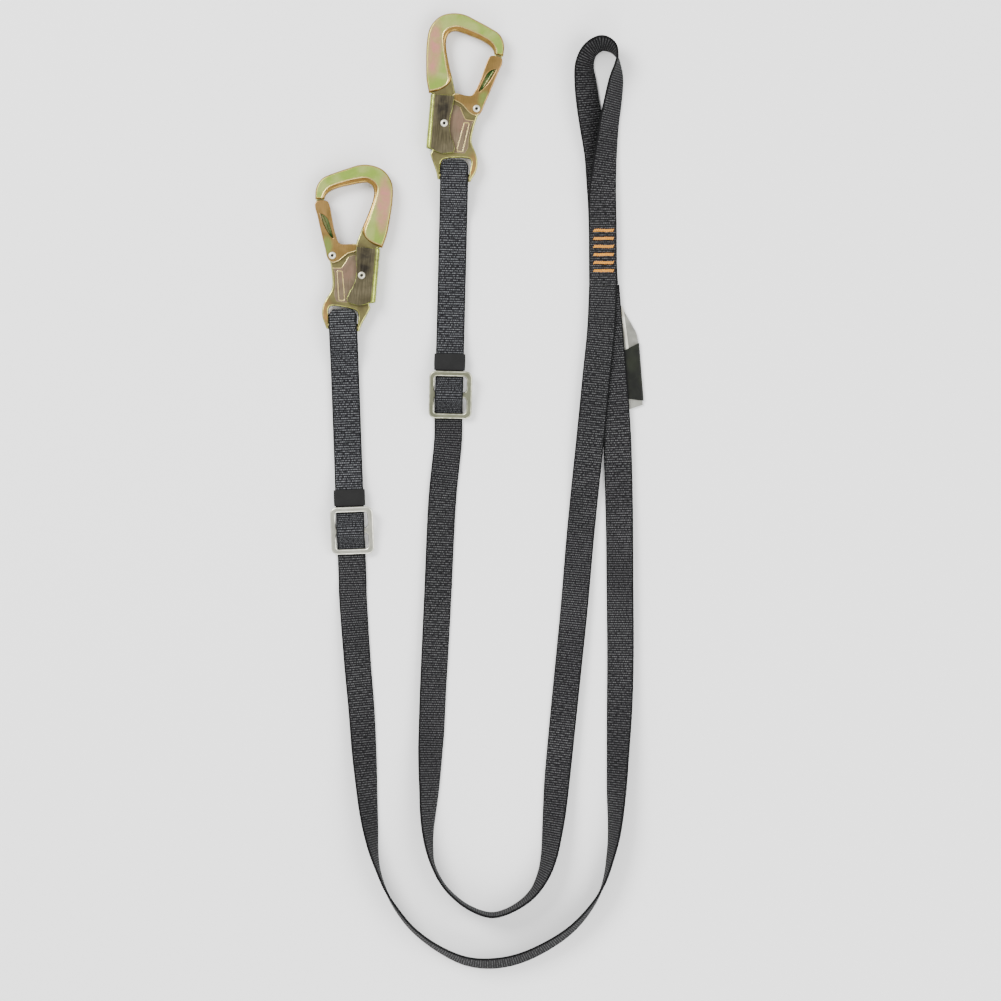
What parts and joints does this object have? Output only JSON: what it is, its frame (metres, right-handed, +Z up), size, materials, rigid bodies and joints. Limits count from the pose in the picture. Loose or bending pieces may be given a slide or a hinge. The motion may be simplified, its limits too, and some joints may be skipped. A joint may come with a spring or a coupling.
{
  "type": "shock absorbing lanyard",
  "caption": "Webbing fall-arrest lanyard: a sewn end loop, long adjustable legs with slide buckles, and a self-locking hook with a squeeze lever on each leg.",
  "frame": {"origin": "on the surface it lies on, under the middle of the box round the hooks, buckles, end loop and label, without the two legs", "axes": "+Z up from the surface, +Y towards the hooks and the end loop, +X towards the end loop's side; the legs lie in two U-turns towards -Y"},
  "size_m": [0.2927, 0.8543, 0.0255],
  "materials": {
    "webbing": "charcoal-black ribbed polyamide web, matt",
    "hook_webbing": "slate-black ribbed polyamide web, matt",
    "tack_thread": "orange zigzag bar tacks",
    "label": "silver-grey label film",
    "label_cover": "black shrink sleeve, satin",
    "buckle_steel": "satin nickel-plated steel",
    "keeper": "black sleeve, matt",
    "zinc_body": "yellow-chromated zinc, iridescent",
    "zinc_gate": "yellow-chromated zinc, coppery",
    "zinc_lever": "yellow-chromated zinc, dark bronze",
    "rivet": "pale plated steel",
    "spring": "spring wire"
  },
  "bodies": {
    "webbing": {"end_loop": "webbing", "leg_a": "webbing", "leg_b": "webbing", "leg_end_a": "webbing", "leg_end_b": "webbing", "hook_strap_a": "hook_webbing", "hook_strap_b": "hook_webbing", "label_strip": "label", "joint_tack_1": "tack_thread", "joint_tack_2": "tack_thread", "joint_tack_3": "tack_thread", "joint_tack_4": "tack_thread", "joint_tack_5": "tack_thread", "joint_tack_6": "tack_thread"},
    "label_cover": {"label_cover": "label_cover"},
    "adjuster_a": {"buckle_a": "buckle_steel", "running_web_a": "hook_webbing", "sewn_end_a": "hook_webbing", "end_tack_a_1": "tack_thread", "end_tack_a_2": "tack_thread"},
    "keeper_a": {"keeper_a": "keeper"},
    "hook_a": {"hook_body_a": "zinc_body", "gate_rivet_a": "rivet", "lever_rivet_a": "rivet", "gate_spring_a": "spring", "lever_spring_a": "spring"},
    "gate_a": {"gate_a": "zinc_gate"},
    "lever_a": {"lock_lever_a": "zinc_lever"},
    "adjuster_b": {"buckle_b": "buckle_steel", "running_web_b": "hook_webbing", "sewn_end_b": "hook_webbing", "end_tack_b_1": "tack_thread", "end_tack_b_2": "tack_thread"},
    "keeper_b": {"keeper_b": "keeper"},
    "hook_b": {"hook_body_b": "zinc_body", "gate_rivet_b": "rivet", "lever_rivet_b": "rivet", "gate_spring_b": "spring", "lever_spring_b": "spring"},
    "gate_b": {"gate_b": "zinc_gate"},
    "lever_b": {"lock_lever_b": "zinc_lever"}
  },
  "joints": [
    {"name": "label_cover_slide", "type": "slide", "parent": "webbing", "child": "label_cover", "axis": [-0.0785, 0.9969, 0], "range_m": [-0.035, 0], "deforming": ["leg_b"]},
    {"name": "adjuster_a_slide", "type": "slide", "parent": "webbing", "child": "adjuster_a", "axis": [0.0244, 0.9997, 0], "range_m": [-0.05, 0.05], "deforming": ["hook_strap_a", "leg_end_a"]},
    {"name": "keeper_a_slide", "type": "slide", "parent": "adjuster_a", "child": "keeper_a", "axis": [0.0244, 0.9997, 0], "range_m": [0, 0.04]},
    {"name": "hook_a_swing", "type": "hinge", "parent": "webbing", "child": "hook_a", "pos_m": [-0.02255, 0.09544, 0.0092], "axis": [0.9963, -0.0854, 0], "range_deg": [-90, 90]},
    {"name": "lever_a_squeeze", "type": "hinge", "parent": "hook_a", "child": "lever_a", "pos_m": [-0.03143, 0.14297, 0.0092], "axis": [0, 0, 1], "range_deg": [0, 8], "stiffness_Nm_per_rad": 1.5},
    {"name": "gate_a_open", "type": "hinge", "parent": "hook_a", "child": "gate_a", "pos_m": [-0.0026, 0.15606, 0.0092], "axis": [0, 0, 1], "range_deg": [0, 28], "stiffness_Nm_per_rad": 0.25},
    {"name": "adjuster_b_slide", "type": "slide", "parent": "webbing", "child": "adjuster_b", "axis": [-0.0366, 0.9993, 0], "range_m": [-0.05, 0.05], "deforming": ["hook_strap_b", "leg_end_b"]},
    {"name": "keeper_b_slide", "type": "slide", "parent": "adjuster_b", "child": "keeper_b", "axis": [-0.0366, 0.9993, 0], "range_m": [0, 0.04]},
    {"name": "hook_b_swing", "type": "hinge", "parent": "webbing", "child": "hook_b", "pos_m": [-0.12178, -0.03792, 0.0092], "axis": [0.9963, -0.0854, 0], "range_deg": [-90, 90]},
    {"name": "lever_b_squeeze", "type": "hinge", "parent": "hook_b", "child": "lever_b", "pos_m": [-0.10494, 0.00741, 0.0092], "axis": [0, 0, -1], "range_deg": [0, 8], "stiffness_Nm_per_rad": 1.5},
    {"name": "gate_b_open", "type": "hinge", "parent": "hook_b", "child": "gate_b", "pos_m": [-0.13112, 0.02521, 0.0092], "axis": [0, 0, -1], "range_deg": [0, 28], "stiffness_Nm_per_rad": 0.25}
  ],
  "couplings": [
    {"joint": "gate_a_open", "follows": "lever_a_squeeze", "ratio": 3.5},
    {"joint": "gate_b_open", "follows": "lever_b_squeeze", "ratio": 3.5}
  ]
}
